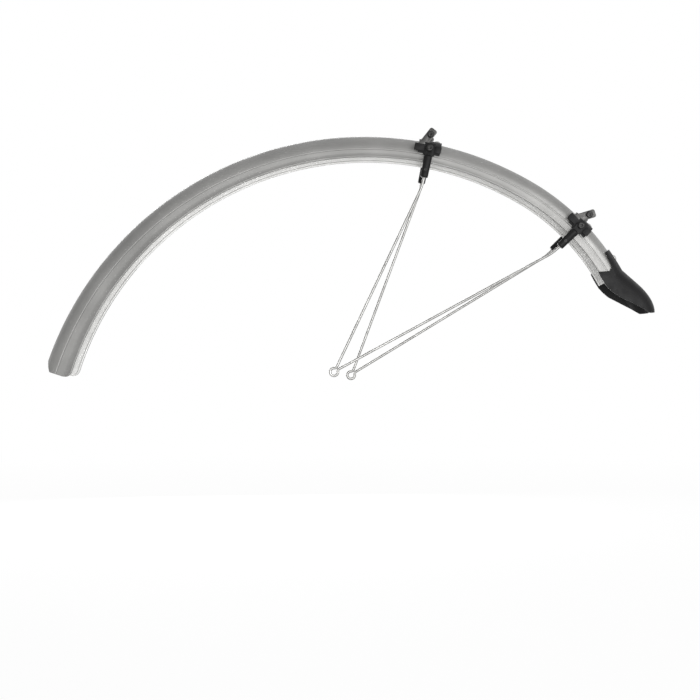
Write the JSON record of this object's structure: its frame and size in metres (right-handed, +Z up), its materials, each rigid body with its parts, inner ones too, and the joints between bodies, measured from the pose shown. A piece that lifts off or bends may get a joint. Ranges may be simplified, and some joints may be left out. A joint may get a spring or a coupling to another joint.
{
  "type": "bicycle mudguard",
  "caption": "Full-length rear bicycle mudguard: a creased arched blade with saddle brackets, two V-shaped wire stays and a flared end flap.",
  "frame": {"origin": "centre of the front fixing hole on the crest's outer surface, on the mid plane", "axes": "+X rearwards along the wheel towards the flap, +Z up, +Y to the bicycle's right"},
  "size_m": [0.6455, 0.0634, 0.2648],
  "materials": {
    "blade": "satin",
    "moulding": "matte black, fine grained",
    "flap": "matte black, fine grained",
    "wire": "drawn stainless wire",
    "plate": "stamped, brushed",
    "fastener": "plain zinc",
    "rivet": "plain"
  },
  "bodies": {
    "root": {"blade": "blade", "front_bracket": "moulding", "front_bracket_rivets": "rivet", "front_left_stay_holder": "moulding", "front_left_holder_screw": "fastener", "front_left_holder_nut": "fastener", "front_left_set_screw": "fastener", "front_left_plate": "plate", "front_left_plate_screw": "fastener", "front_left_plate_nut": "fastener", "front_right_stay_holder": "moulding", "front_right_holder_screw": "fastener", "front_right_holder_nut": "fastener", "front_right_set_screw": "fastener", "front_right_plate": "plate", "front_right_plate_screw": "fastener", "front_right_plate_nut": "fastener", "rear_bracket": "moulding", "rear_bracket_rivets": "rivet", "rear_left_stay_holder": "moulding", "rear_left_holder_screw": "fastener", "rear_left_holder_nut": "fastener", "rear_left_set_screw": "fastener", "rear_left_plate": "plate", "rear_left_plate_screw": "fastener", "rear_left_plate_nut": "fastener", "rear_right_stay_holder": "moulding", "rear_right_holder_screw": "fastener", "rear_right_holder_nut": "fastener", "rear_right_set_screw": "fastener", "rear_right_plate": "plate", "rear_right_plate_screw": "fastener", "rear_right_plate_nut": "fastener", "left_stay": "wire", "right_stay": "wire", "flap": "flap", "flap_rivets": "rivet"}
  },
  "joints": []
}
